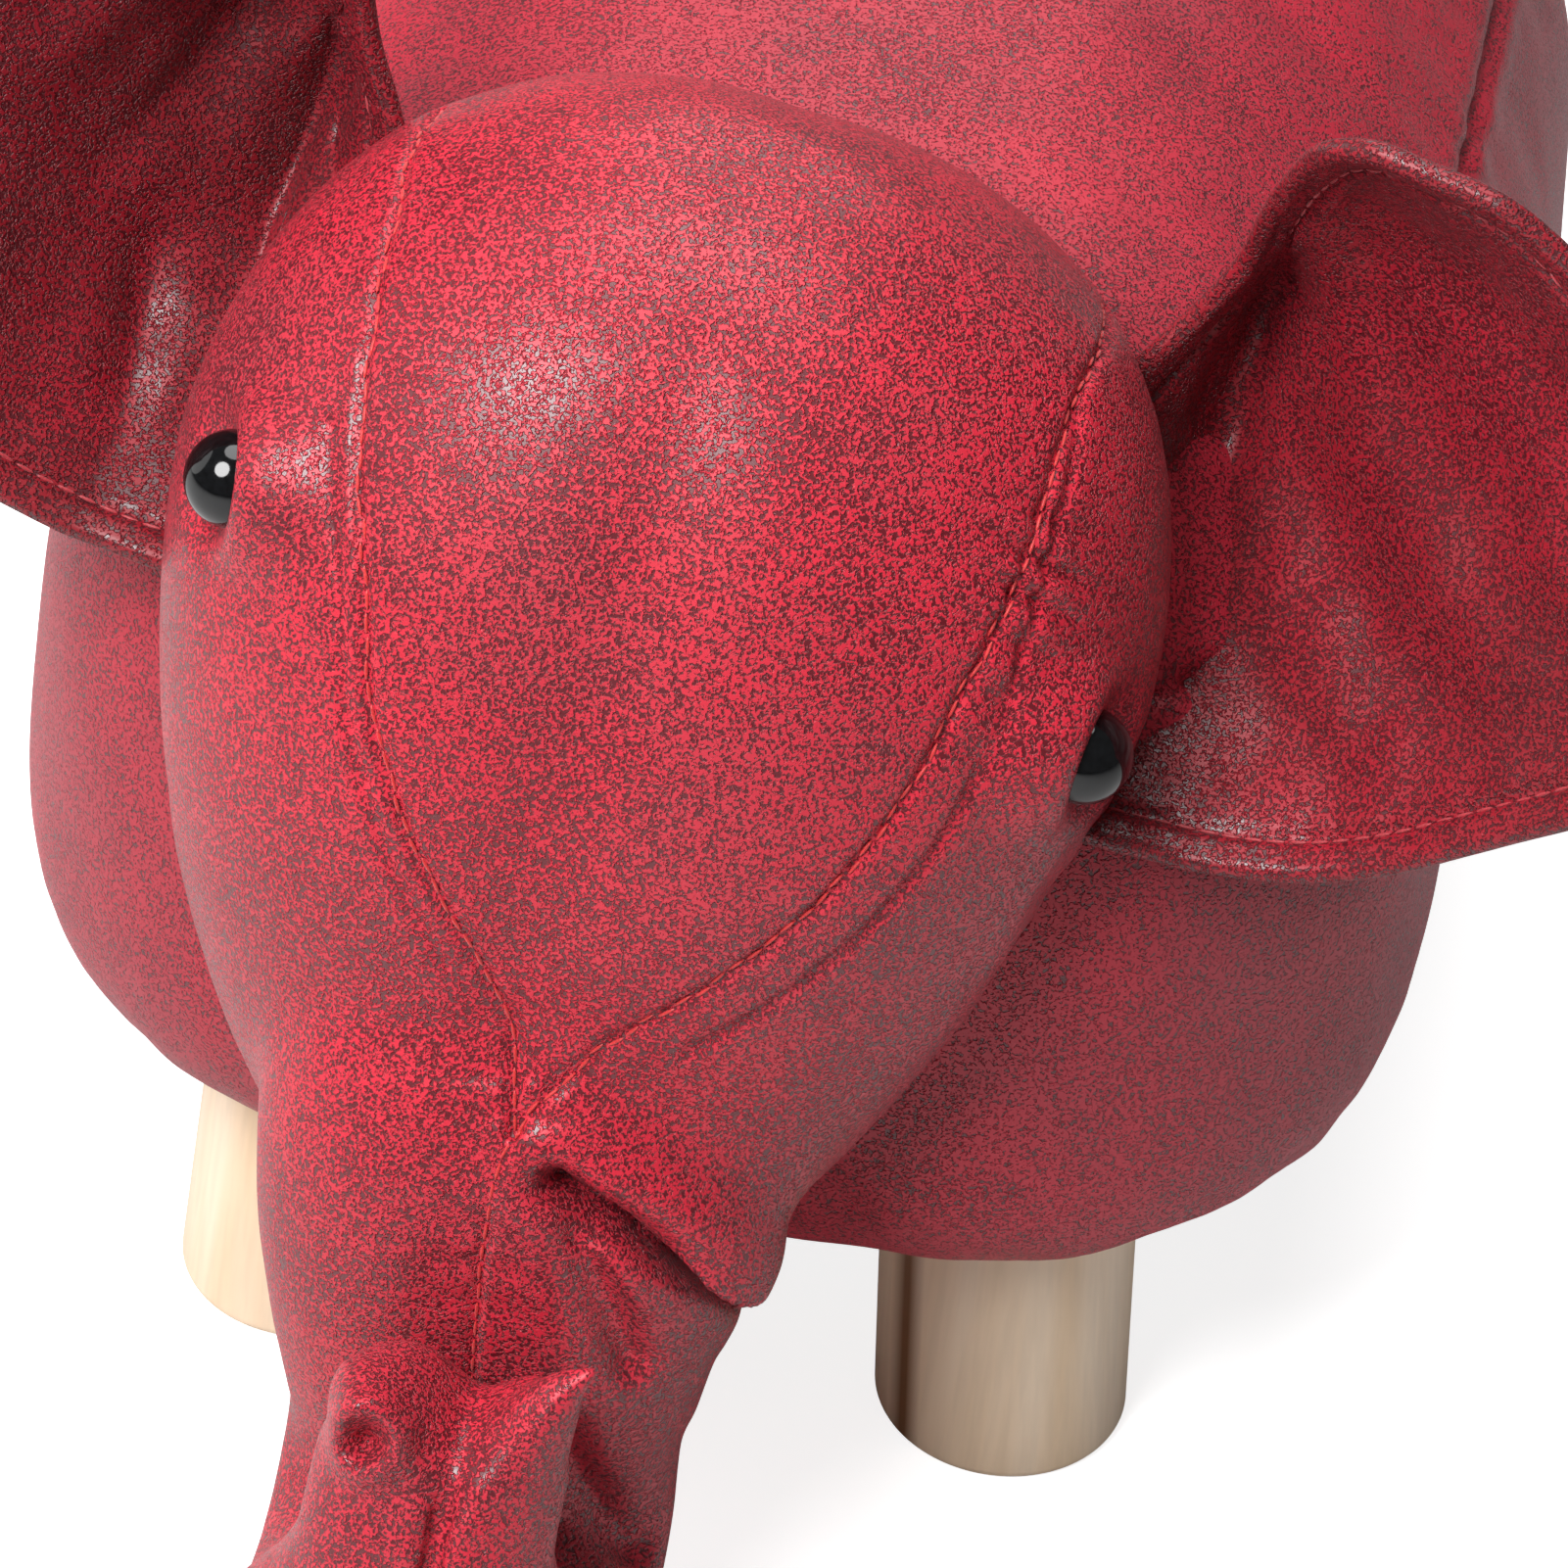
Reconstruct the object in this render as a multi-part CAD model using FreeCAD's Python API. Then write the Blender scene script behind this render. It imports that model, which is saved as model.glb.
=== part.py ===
import FreeCAD, Part
import math
import os

V = FreeCAD.Vector

# Driving dimensions in millimetres. The floor is z = 0 and the animal looks along -Y. "Left" is the
# animal's own left side, +X. Heights and reaches below are measured from the floor under the
# middle of the four legs.

# Seat body
seat_width = 280.0
seat_length = 410.0
seat_height = 250.0
hem_height = 68.5
belly_height = 92.0
hem_tuck = 14.0
corner_radius = 88.0
rim_drop = 44.0
cover_thickness = 1.6
fit_gap = 0.3
hem_margin = 6.0
foam_thickness = 53.5
loft_degree = 3

# Legs and their fixings
leg_diameter = 52.0
leg_spread_x = 74.0
leg_spread_y = 155.0
leg_splay = 4.0
leg_edge_radius = 2.5
bolt_diameter = 8.0
bolt_in_leg = 38.0
tee_nut_flange = 22.0
tee_nut_barrel = 10.0
tee_nut_plate = 1.6
running_clearance = 0.05

# Wooden box inside the seat
board_thickness = 12.0
board_margin = 4.0
board_rise = 4.0
board_corner = 60.0
dust_cover_thickness = 0.8
frame_width = 196.0
frame_length = 320.0
rail_thickness = 16.0
screw_diameter = 4.0
screw_head = 8.0
screw_bite = 0.28
screw_inset = 26.0
screw_margin = 10.0

# Head: sections are written in the upright head, measured forward from the neck line
neck_line = 115.0
head_turn = 2.0
head_tilt = 7.5
head_offset = -5.0
tilt_height = 200.0
oval_fullness = 0.735
brow_top_half_width = 64.0
brow_top_height = 266.0
brow_mid_half_width = 47.0
brow_mid_height = 214.0
brow_point_height = 151.0
brow_point_reach = 140.0

# Eyes: each is set by hand, at its own reach and height and turned forward by its own angle
eye_diameter = 18.0
left_eye_place = (94.0, 230.0, 5.0)
right_eye_place = (102.0, 238.0, 17.0)
eye_sink = 0.7
eye_shank = 5.0
eye_shank_length = 16.0
washer_diameter = 16.0
washer_thickness = 1.6
washer_depth = 7.5

# Trunk
trunk_half_width = 40.0
trunk_half_depth = 23.0
trunk_curl_radius = 28.5
trunk_curl_reach = 159.5
trunk_curl_height = 59.0
trunk_curl_sweep = 170.0
trunk_tip_rise = 64.0
trunk_fullness = 0.74

# Ears
ear_layer_thickness = 2.6
ear_layer_gap = 0.3
ear_root_gap = 0.9


def arc(a, b, c):
    return Part.Arc(a, b, c).toShape()


def loft(wires):
    return Part.makeLoft(wires, True, False, False, loft_degree)


# Seat body: a loaf with a tucked hem, bulging sides and a crowned seat, lofted through rounded
# rectangles. Each section is a height and how far its outline is drawn in from the widest one.
rim_height = seat_height - rim_drop
side_rise = rim_height - belly_height


def body_sections():
    return [
        (hem_height, hem_tuck),
        (hem_height + 8.0, 5.0),
        (belly_height, 0.0),
        (belly_height + 0.51 * side_rise, 1.5),
        (belly_height + 0.81 * side_rise, 8.0),
        (rim_height, 18.0),
        (seat_height - 23.0, 38.0),
        (seat_height - 11.0, 58.0),
        (seat_height - 4.0, 84.0),
        (seat_height, 126.0),
    ]


def rounded_rectangle(half_width, half_length, radius, z):
    inner_x = half_width - radius
    inner_y = half_length - radius
    diagonal = radius * math.sqrt(0.5)
    corners = [(1, 1), (-1, 1), (-1, -1), (1, -1)]
    edges = []
    for sx, sy in corners:
        side = V(sx * half_width, sy * inner_y, z)
        middle = V(sx * (inner_x + diagonal), sy * (inner_y + diagonal), z)
        end = V(sx * inner_x, sy * half_length, z)
        if sx * sy > 0:
            edges.append(arc(side, middle, end))
        else:
            edges.append(arc(end, middle, side))
    edges.insert(1, Part.makeLine(V(inner_x, half_length, z), V(-inner_x, half_length, z)))
    edges.insert(3, Part.makeLine(V(-half_width, inner_y, z), V(-half_width, -inner_y, z)))
    edges.insert(5, Part.makeLine(V(-inner_x, -half_length, z), V(inner_x, -half_length, z)))
    edges.append(Part.makeLine(V(half_width, -inner_y, z), V(half_width, inner_y, z)))
    return Part.Wire(edges)


def body_form(inset, bottom_margin):
    rise = seat_height - belly_height
    wires = []
    for index, (height, tuck) in enumerate(body_sections()):
        half_width = 0.5 * seat_width - tuck - inset
        half_length = 0.5 * seat_length - tuck - inset
        radius = corner_radius * 2.0 * half_width / seat_width
        z = height - inset * max(0.0, height - belly_height) / rise
        if index == 0:
            z = height - bottom_margin
        wires.append(rounded_rectangle(half_width, half_length, radius, z))
    return loft(wires)


def slab(low, high):
    reach = 2.0 * seat_length
    return Part.makeBox(reach, reach, high - low, V(-0.5 * reach, -0.5 * reach, low))


def side_box(sign):
    reach = 2.0 * seat_length
    start = 0.0 if sign > 0 else -reach
    return Part.makeBox(reach, 2.0 * reach, 2.0 * reach, V(start, -reach, -reach))


# The wooden box: base board, four rails and a top board, screwed together under the seat foam.
# The end rails' screws keep clear of the legs' tee nuts.
board_bottom = hem_height + board_rise
rail_bottom = board_bottom + board_thickness
top_board_top = seat_height - foam_thickness
rail_top = top_board_top - board_thickness
frame_height = rail_top - rail_bottom
screw_length = board_thickness + screw_bite * frame_height
leg_top = board_bottom - dust_cover_thickness
leg_lean = leg_top * math.tan(math.radians(leg_splay))
leg_top_x = leg_spread_x - leg_lean
leg_top_y = leg_spread_y - leg_lean


def leg_top_centres():
    return [(sx * leg_top_x, sy * leg_top_y) for sx in (1, -1) for sy in (-1, 1)]


def base_outline(margin):
    half_width = 0.5 * seat_width - hem_tuck - cover_thickness - margin
    half_length = 0.5 * seat_length - hem_tuck - cover_thickness - margin
    return half_width, half_length


def plate(half_width, half_length, radius, low, high):
    face = Part.Face(rounded_rectangle(half_width, half_length, radius, low))
    return face.extrude(V(0, 0, high - low))


def screw_places():
    side_x = 0.5 * frame_width - 0.5 * rail_thickness
    end_y = 0.5 * frame_length - 0.5 * rail_thickness
    side_y = end_y - rail_thickness - screw_inset
    end_x = leg_top_x - 0.5 * tee_nut_flange - screw_margin
    places = []
    for sx in (1, -1):
        for sy in (1, -1):
            places.append((sx * side_x, sy * side_y))
            places.append((sx * end_x, sy * end_y))
    return places


def screw(x, y, clearance):
    head_radius = 0.5 * screw_head + clearance
    shank_radius = 0.5 * screw_diameter + clearance
    cone = 0.5 * (screw_head - screw_diameter)
    head = Part.makeCone(head_radius, shank_radius, cone, V(x, y, top_board_top), V(0, 0, -1))
    shank = Part.makeCylinder(
        shank_radius, screw_length - cone + clearance, V(x, y, top_board_top - cone), V(0, 0, -1))
    low_head = Part.makeCone(head_radius, shank_radius, cone, V(x, y, board_bottom), V(0, 0, 1))
    low_shank = Part.makeCylinder(
        shank_radius, screw_length - cone + clearance, V(x, y, board_bottom + cone), V(0, 0, 1))
    return [head.fuse(shank), low_head.fuse(low_shank)]


def all_screws(clearance):
    solids = []
    for x, y in screw_places():
        solids.extend(screw(x, y, clearance))
    return solids


def rails():
    half_width = 0.5 * frame_width
    half_length = 0.5 * frame_length
    side_length = frame_length - 2.0 * rail_thickness
    front = Part.makeBox(
        frame_width, rail_thickness, frame_height, V(-half_width, -half_length, rail_bottom))
    rear = front.translated(V(0, frame_length - rail_thickness, 0))
    right = Part.makeBox(
        rail_thickness, side_length, frame_height,
        V(-half_width, -half_length + rail_thickness, rail_bottom))
    left = right.translated(V(frame_width - rail_thickness, 0, 0))
    return {"front_rail": front, "rear_rail": rear, "left_rail": left, "right_rail": right}


# Legs: straight turned dowels leaning outwards, cut flat at the floor and under the base
def leg(top_x, top_y):
    sx = math.copysign(1.0, top_x)
    sy = math.copysign(1.0, top_y)
    lean = math.tan(math.radians(leg_splay))
    axis = V(sx * lean, sy * lean, -1.0)
    top = V(top_x, top_y, leg_top)
    start = top - axis * leg_diameter
    length = (leg_top + 2.0 * leg_diameter) * axis.Length
    dowel = Part.makeCylinder(0.5 * leg_diameter, length, start, axis)
    dowel = dowel.common(slab(0.0, leg_top))
    foot_edges = []
    for edge in dowel.Edges:
        if edge.BoundBox.ZMax < 0.01:
            foot_edges.append(edge)
    dowel = dowel.makeFillet(leg_edge_radius, foot_edges)
    hole = Part.makeCylinder(
        0.5 * bolt_diameter + running_clearance, bolt_in_leg + 1.0, top, V(0, 0, -1))
    return dowel.cut(hole)


def leg_bolt(x, y):
    length = bolt_in_leg + dust_cover_thickness + board_thickness
    return Part.makeCylinder(0.5 * bolt_diameter, length, V(x, y, leg_top - bolt_in_leg))


def tee_nut(x, y, clearance):
    barrel = Part.makeCylinder(
        0.5 * tee_nut_barrel + clearance, board_thickness - tee_nut_plate - 1.0,
        V(x, y, board_bottom + 1.0))
    flange = Part.makeCylinder(
        0.5 * tee_nut_flange + clearance, tee_nut_plate + clearance,
        V(x, y, rail_bottom - tee_nut_plate))
    return barrel.fuse(flange)


def bolt_hole(x, y):
    radius = 0.5 * bolt_diameter + running_clearance
    return Part.makeCylinder(radius, 4.0 * board_thickness, V(x, y, leg_top - board_thickness))


# Head: horizontal ovals from the chin to the crown. Each is a height, how far its back, widest
# point and front lie ahead of the neck line, and its half width.
def head_sections():
    return [
        (74.0, 66.0, 84.0, 104.0, 43.0),
        (82.0, 58.0, 84.0, 114.0, 52.0),
        (98.0, 52.0, 82.0, 124.0, 60.0),
        (124.0, 46.0, 80.0, 133.0, 71.0),
        (156.0, 36.0, 78.0, 138.0, 83.0),
        (190.0, 20.0, 74.0, 138.0, 91.0),
        (224.0, 0.0, 70.0, 131.0, 94.0),
        (250.0, -12.0, 64.0, 121.0, 89.0),
        (272.0, -6.0, 58.0, 109.0, 77.0),
        (289.0, 12.0, 54.0, 94.0, 57.0),
        (299.0, 30.0, 53.0, 77.0, 33.0),
        (302.0, 42.0, 53.0, 64.0, 14.0),
    ]


def oval(half_width, back, middle, front, z, fullness):
    side = -neck_line - middle
    wide = fullness * half_width
    front_y = -neck_line - front
    back_y = -neck_line - back
    front_mid = side + fullness * (front_y - side)
    back_mid = side + fullness * (back_y - side)
    left = V(half_width, side, z)
    right = V(-half_width, side, z)
    edges = [
        arc(V(0, front_y, z), V(wide, front_mid, z), left),
        arc(left, V(wide, back_mid, z), V(0, back_y, z)),
        arc(V(0, back_y, z), V(-wide, back_mid, z), right),
        arc(right, V(-wide, front_mid, z), V(0, front_y, z)),
    ]
    return Part.Wire(edges)


def head_form(inset):
    sections = head_sections()
    middle = 0.5 * (sections[0][0] + sections[-1][0])
    half_height = sections[-1][0] - middle
    wires = []
    for height, back, side, front, half_width in sections:
        z = middle + (height - middle) * (1.0 - inset / half_height)
        wires.append(oval(half_width - inset, back + inset, side, front - inset, z, oval_fullness))
    return loft(wires)


# The head sits a little turned and tilted on the body
def head_placement():
    pivot = V(0, -neck_line, tilt_height)
    turn = FreeCAD.Placement(V(), FreeCAD.Rotation(V(0, 0, 1), -head_turn), pivot)
    tilt = FreeCAD.Placement(V(), FreeCAD.Rotation(V(0, 1, 0), head_tilt), pivot)
    slide = FreeCAD.Placement(V(head_offset, 0, 0), FreeCAD.Rotation())
    return slide.multiply(turn).multiply(tilt)


def on_head(shape):
    placed = shape.copy()
    placed.Placement = head_placement().multiply(placed.Placement)
    return placed


# The forehead panel narrows from the brow to a point above the trunk
def forehead_prism():
    y = -neck_line - 3.0 * brow_point_reach
    depth = 6.0 * brow_point_reach
    top = 2.0 * brow_top_height
    left_brow = V(brow_top_half_width, y, brow_top_height)
    right_brow = V(-brow_top_half_width, y, brow_top_height)
    left_middle = V(brow_mid_half_width, y, brow_mid_height)
    right_middle = V(-brow_mid_half_width, y, brow_mid_height)
    point = V(0, y, brow_point_height)
    edges = [
        Part.makeLine(V(-brow_top_half_width, y, top), V(brow_top_half_width, y, top)),
        Part.makeLine(V(brow_top_half_width, y, top), left_brow),
        arc(left_brow, left_middle, point),
        arc(point, right_middle, right_brow),
        Part.makeLine(right_brow, V(-brow_top_half_width, y, top)),
    ]
    return Part.Face(Part.Wire(edges)).extrude(V(0, depth, 0))


# Eyes: half-round domes on a shank that passes through the cheek into a washer
def eye_seat(sign):
    reach, height, turn = left_eye_place if sign > 0 else right_eye_place
    y = -neck_line - reach
    ray = Part.makeLine(V(0, y, height), V(sign * seat_width, y, height))
    inside = ray.common(head_form(0.0)).BoundBox
    surface = V(inside.XMax if sign > 0 else inside.XMin, y, height)
    angle = math.radians(turn)
    return surface, V(sign * math.cos(angle), -math.sin(angle), 0)


def eye(sign, clearance):
    radius = 0.5 * eye_diameter + clearance
    surface, outward = eye_seat(sign)
    seat = surface - outward * (eye_sink + clearance)
    dome = Part.makeSphere(radius, seat, outward, 0, 90, 360)
    shank = Part.makeCylinder(
        0.5 * eye_shank + clearance, eye_shank_length + 1.0, seat + outward, outward * -1.0)
    return dome.fuse(shank)


def eye_washer(sign, clearance):
    surface, outward = eye_seat(sign)
    start = surface - outward * (washer_depth + washer_thickness)
    disc = Part.makeCylinder(
        0.5 * washer_diameter + clearance, washer_thickness + clearance, start, outward)
    bore = Part.makeCylinder(
        0.5 * eye_shank + running_clearance, 4.0 * washer_thickness,
        start - outward * washer_thickness, outward)
    return disc.cut(bore)


# Trunk: ovals drop from the face to the curl, the curl is a turned oval and the tip tapers upwards.
# Each oval is its reach, height and heading in degrees, with a half width and half depth.
def trunk_drop():
    return [
        (102.0, 164.0, -62.0, 46.0, 28.0),
        (114.0, 142.0, -66.0, 49.5, 32.0),
        (123.0, 118.0, -73.0, 49.5, 33.0),
        (129.0, 92.0, -82.0, 46.5, 29.5),
        (trunk_curl_reach - trunk_curl_radius, trunk_curl_height, -90.0, trunk_half_width,
         trunk_half_depth),
    ]


def trunk_rise():
    heading = trunk_curl_sweep - 90.0
    angle = math.radians(heading)
    reach = trunk_curl_reach + trunk_curl_radius * math.sin(angle)
    height = trunk_curl_height - trunk_curl_radius * math.cos(angle)
    return [
        (reach, height, heading, trunk_half_width, trunk_half_depth),
        (reach + 3.5, height + 0.36 * trunk_tip_rise, heading, 32.5, 19.0),
        (reach + 6.0, height + 0.75 * trunk_tip_rise, heading + 2.0, 29.5, 15.5),
        (reach + 7.5, height + trunk_tip_rise, heading + 4.0, 26.0, 10.5),
    ]


def trunk_oval(reach, height, heading, half_width, half_depth):
    angle = math.radians(heading)
    across = V(1, 0, 0)
    inward = V(0, math.sin(angle), math.cos(angle))
    centre = V(0, -neck_line - reach, height)
    wide = across * half_width
    deep = inward * half_depth
    full = trunk_fullness
    edges = [
        arc(centre + deep, centre + (wide + deep) * full, centre + wide),
        arc(centre + wide, centre + (wide - deep) * full, centre - deep),
        arc(centre - deep, centre - (wide + deep) * full, centre - wide),
        arc(centre - wide, centre + (deep - wide) * full, centre + deep),
    ]
    return Part.Wire(edges)


def trunk_form(inset):
    drop = []
    for reach, height, heading, half_width, half_depth in trunk_drop():
        drop.append(trunk_oval(reach, height, heading, half_width - inset, half_depth - inset))
    rise = []
    for reach, height, heading, half_width, half_depth in trunk_rise():
        rise.append(trunk_oval(reach, height, heading, half_width - inset, half_depth - inset))
    axis_point = V(0, -neck_line - trunk_curl_reach, trunk_curl_height)
    curl = Part.Face(drop[-1]).revolve(axis_point, V(1, 0, 0), -trunk_curl_sweep)
    tip = loft(rise)
    if inset > 0.0:
        tip = tip.common(slab(0.0, tip.BoundBox.ZMax - inset))
    return loft(drop).fuse([curl, tip])


# The trunk hangs upright below the point of the forehead panel
def on_trunk(shape):
    point = V(0, -neck_line - brow_point_reach, brow_point_height)
    placed = shape.copy()
    placed.translate(V(head_placement().multVec(point).x, 0, 0))
    return placed


# Ears: two cupped layers sewn round the edge. Each section is its distance from the middle of the
# head, the reach and height of its lower, middle and upper points, and its share of full thickness.
def ear_sections():
    return [
        (72.0, (82.0, 206.0), (56.0, 240.0), (25.0, 268.0), 0.35),
        (90.0, (83.0, 197.0), (48.0, 250.0), (18.0, 302.0), 0.45),
        (110.0, (83.0, 196.0), (47.0, 262.0), (25.0, 328.0), 1.0),
        (134.0, (85.0, 207.0), (53.0, 268.0), (38.0, 329.0), 1.0),
        (160.0, (90.0, 232.0), (66.0, 275.0), (56.0, 318.0), 1.0),
        (180.0, (95.0, 258.0), (79.0, 280.0), (73.0, 303.0), 0.8),
        (188.0, (96.0, 271.0), (90.0, 281.0), (85.0, 291.0), 0.6),
    ]


def ear_section(sign, section, face):
    x, low, middle, high, share = section
    inner_face = face * 0.5 * ear_layer_gap
    outer_face = face * (0.5 * ear_layer_gap + share * ear_layer_thickness)
    near = []
    far = []
    for reach, height in (low, middle, high):
        near.append(V(sign * x, -neck_line - reach - inner_face, height))
        far.append(V(sign * x, -neck_line - reach - outer_face, height))
    edges = [
        arc(near[0], near[1], near[2]),
        Part.makeLine(near[2], far[2]),
        arc(far[2], far[1], far[0]),
        Part.makeLine(far[0], near[0]),
    ]
    return Part.Wire(edges)


def ear_layer(sign, face):
    return loft([ear_section(sign, section, face) for section in ear_sections()])


def build():
    nodes = {}

    body_outer = body_form(0.0, 0.0)
    body_inner = body_form(cover_thickness, hem_margin)
    body_clear = body_form(-fit_gap, 0.0)
    body_cover = body_outer.cut(body_inner)
    nodes["seat_cover"] = body_cover.common(slab(rim_height, 2.0 * seat_height))
    nodes["side_cover"] = body_cover.common(slab(0.0, rim_height))

    screw_holes = Part.makeCompound(all_screws(running_clearance))
    half_width, half_length = base_outline(board_margin)
    base = plate(half_width, half_length, board_corner, board_bottom, rail_bottom)
    dust = plate(half_width, half_length, board_corner, leg_top, board_bottom)
    bolts = []
    nuts = []
    names = ["front_left_leg", "rear_left_leg", "front_right_leg", "rear_right_leg"]
    for name, (x, y) in zip(names, leg_top_centres()):
        hole = bolt_hole(x, y)
        base = base.cut(tee_nut(x, y, running_clearance)).cut(hole)
        dust = dust.cut(hole)
        nodes[name] = leg(x, y)
        bolts.append(leg_bolt(x, y))
        nuts.append(tee_nut(x, y, 0.0).cut(hole))
    nodes["base_board"] = base.cut(screw_holes)
    nodes["dust_cover"] = dust
    nodes["leg_bolts"] = Part.makeCompound(bolts)
    nodes["leg_tee_nuts"] = Part.makeCompound(nuts)
    for name, rail in rails().items():
        nodes[name] = rail.cut(screw_holes)
    half_width = 0.5 * frame_width
    half_length = 0.5 * frame_length
    top = Part.makeBox(
        frame_width, frame_length, board_thickness, V(-half_width, -half_length, rail_top))
    nodes["top_board"] = top.cut(screw_holes)
    nodes["frame_screws"] = Part.makeCompound(all_screws(0.0))

    padding = body_form(cover_thickness + fit_gap, 0.0)
    padding = padding.common(slab(rail_bottom, 2.0 * seat_height))
    box = Part.makeBox(
        frame_width + 2.0 * fit_gap, frame_length + 2.0 * fit_gap, top_board_top - rail_bottom,
        V(-half_width - fit_gap, -half_length - fit_gap, rail_bottom))
    padding = padding.cut(box)
    nodes["side_padding"] = padding.common(slab(rail_bottom, top_board_top))
    nodes["seat_foam"] = padding.common(slab(top_board_top, 2.0 * seat_height))

    head_outer = head_form(0.0)
    head_shell = head_outer.cut(head_form(cover_thickness))
    prism = forehead_prism()
    nodes["forehead_panel"] = on_head(head_shell.common(prism)).cut(body_clear)
    cheeks = head_shell.cut(prism)
    stuffing = head_form(cover_thickness + fit_gap)
    for side, sign in (("left", 1.0), ("right", -1.0)):
        cheek = cheeks.common(side_box(sign)).cut(eye(sign, running_clearance))
        nodes[side + "_cheek_panel"] = on_head(cheek).cut(body_clear)
        nodes[side + "_eye"] = on_head(eye(sign, 0.0))
        nodes[side + "_eye_washer"] = on_head(eye_washer(sign, 0.0))
        stuffing = stuffing.cut(eye(sign, fit_gap)).cut(eye_washer(sign, fit_gap))
    nodes["head_stuffing"] = on_head(stuffing).cut(body_clear)

    head_clear = on_head(head_form(-fit_gap))
    trunk_shell = trunk_form(0.0).cut(trunk_form(cover_thickness))
    for side, sign in (("left", 1.0), ("right", -1.0)):
        half = on_trunk(trunk_shell.common(side_box(sign)))
        nodes["trunk_" + side + "_panel"] = half.cut(head_clear).cut(body_clear)
    trunk_core = on_trunk(trunk_form(cover_thickness + fit_gap))
    nodes["trunk_stuffing"] = trunk_core.cut(head_clear).cut(body_clear)

    ear_clear = on_head(head_form(-ear_root_gap))
    for side, sign in (("left", 1.0), ("right", -1.0)):
        nodes[side + "_ear_front"] = on_head(ear_layer(sign, 1.0)).cut(ear_clear)
        nodes[side + "_ear_back"] = on_head(ear_layer(sign, -1.0)).cut(ear_clear)
    return nodes


# The origin is the middle of the whole object's outline, on the floor
def on_origin(nodes):
    box = Part.makeCompound(list(nodes.values())).optimalBoundingBox()
    shift = V(-box.Center.x, -box.Center.y, 0)
    return {name: shape.translated(shift) for name, shape in nodes.items()}


os.makedirs("parts", exist_ok=True)
for node_name, node_shape in on_origin(build()).items():
    node_shape.exportStep("parts/" + node_name + ".step")
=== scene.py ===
import bmesh
import bpy
import math
import numpy as np
from mathutils import Matrix, Vector, noise
from mathutils.bvhtree import BVHTree
from mathutils.kdtree import KDTree


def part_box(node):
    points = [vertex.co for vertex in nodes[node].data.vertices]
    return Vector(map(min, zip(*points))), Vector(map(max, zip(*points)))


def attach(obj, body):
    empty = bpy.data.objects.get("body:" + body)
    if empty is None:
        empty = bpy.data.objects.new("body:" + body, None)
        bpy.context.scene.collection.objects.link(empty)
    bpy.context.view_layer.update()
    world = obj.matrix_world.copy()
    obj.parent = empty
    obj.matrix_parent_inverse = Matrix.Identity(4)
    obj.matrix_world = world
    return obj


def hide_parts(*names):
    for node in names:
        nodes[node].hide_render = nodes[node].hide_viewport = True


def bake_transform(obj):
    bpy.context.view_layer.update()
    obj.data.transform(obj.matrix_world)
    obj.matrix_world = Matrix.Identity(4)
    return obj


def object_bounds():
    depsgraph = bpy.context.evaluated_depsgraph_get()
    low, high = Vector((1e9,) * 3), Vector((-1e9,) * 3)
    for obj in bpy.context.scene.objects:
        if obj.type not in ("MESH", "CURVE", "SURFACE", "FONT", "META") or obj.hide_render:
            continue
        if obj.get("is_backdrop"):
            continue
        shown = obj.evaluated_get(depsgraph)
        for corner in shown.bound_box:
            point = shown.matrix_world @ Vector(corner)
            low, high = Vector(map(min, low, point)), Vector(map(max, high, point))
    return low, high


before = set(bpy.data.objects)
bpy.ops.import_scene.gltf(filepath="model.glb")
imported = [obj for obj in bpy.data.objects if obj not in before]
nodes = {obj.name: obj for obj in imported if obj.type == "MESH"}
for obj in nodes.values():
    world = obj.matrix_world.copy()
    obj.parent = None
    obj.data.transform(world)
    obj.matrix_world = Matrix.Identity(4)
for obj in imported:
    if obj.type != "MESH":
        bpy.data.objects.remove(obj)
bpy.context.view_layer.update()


# Legs. Four straight dowels of pale sapwood, sawn flat, lightly sanded and left with a satin finish.
# Each is screwed up into the base board by a bolt in its top; one shows a brown heartwood streak.
LEGS = ("front_left_leg", "front_right_leg", "rear_left_leg", "rear_right_leg")
LEG_RADIUS, STREAK_OFF_MIDDLE = 0.026, 0.017


def linear(code):
    """sRGB hex colour to linear RGBA."""
    parts = [int(code[i:i + 2], 16) / 255.0 for i in (1, 3, 5)]
    return [c / 12.92 if c <= 0.04045 else ((c + 0.055) / 1.055) ** 2.4 for c in parts] + [1.0]


def add(tree, kind, inputs=(), **settings):
    """Adds one node; inputs maps a socket name or number to a value or to another node's output."""
    made = tree.nodes.new(kind)
    for key, value in settings.items():
        setattr(made, key, value)
    for key, value in dict(inputs).items():
        socket = made.inputs[key]
        if isinstance(value, bpy.types.NodeSocket):
            tree.links.new(value, socket)
        else:
            socket.default_value = value
    return made


def ramp(tree, factor, stops):
    """A colour ramp over factor; stops are (position, hex colour or grey value)."""
    made = add(tree, "ShaderNodeValToRGB", {0: factor})
    points = made.color_ramp.elements
    while len(points) < len(stops):
        points.new(0.5)
    for point, (position, tint) in zip(points, stops):
        point.position = position
        point.color = linear(tint) if isinstance(tint, str) else (tint, tint, tint, 1.0)
    return made.outputs[0]


def blend_colour(tree, factor, a, b, how="MIX"):
    """Mixes two colours, each a hex colour or a node's output."""
    made = add(tree, "ShaderNodeMix", data_type="RGBA", blend_type=how)
    for socket, value in ((made.inputs[0], factor), (made.inputs[6], a), (made.inputs[7], b)):
        if isinstance(value, bpy.types.NodeSocket):
            tree.links.new(value, socket)
        else:
            socket.default_value = linear(value) if isinstance(value, str) else value
    return made.outputs[2]


def maths(tree, how, a, b=0.0, clamp=False):
    return add(tree, "ShaderNodeMath", {0: a, 1: b}, operation=how, use_clamp=clamp).outputs[0]


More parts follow.
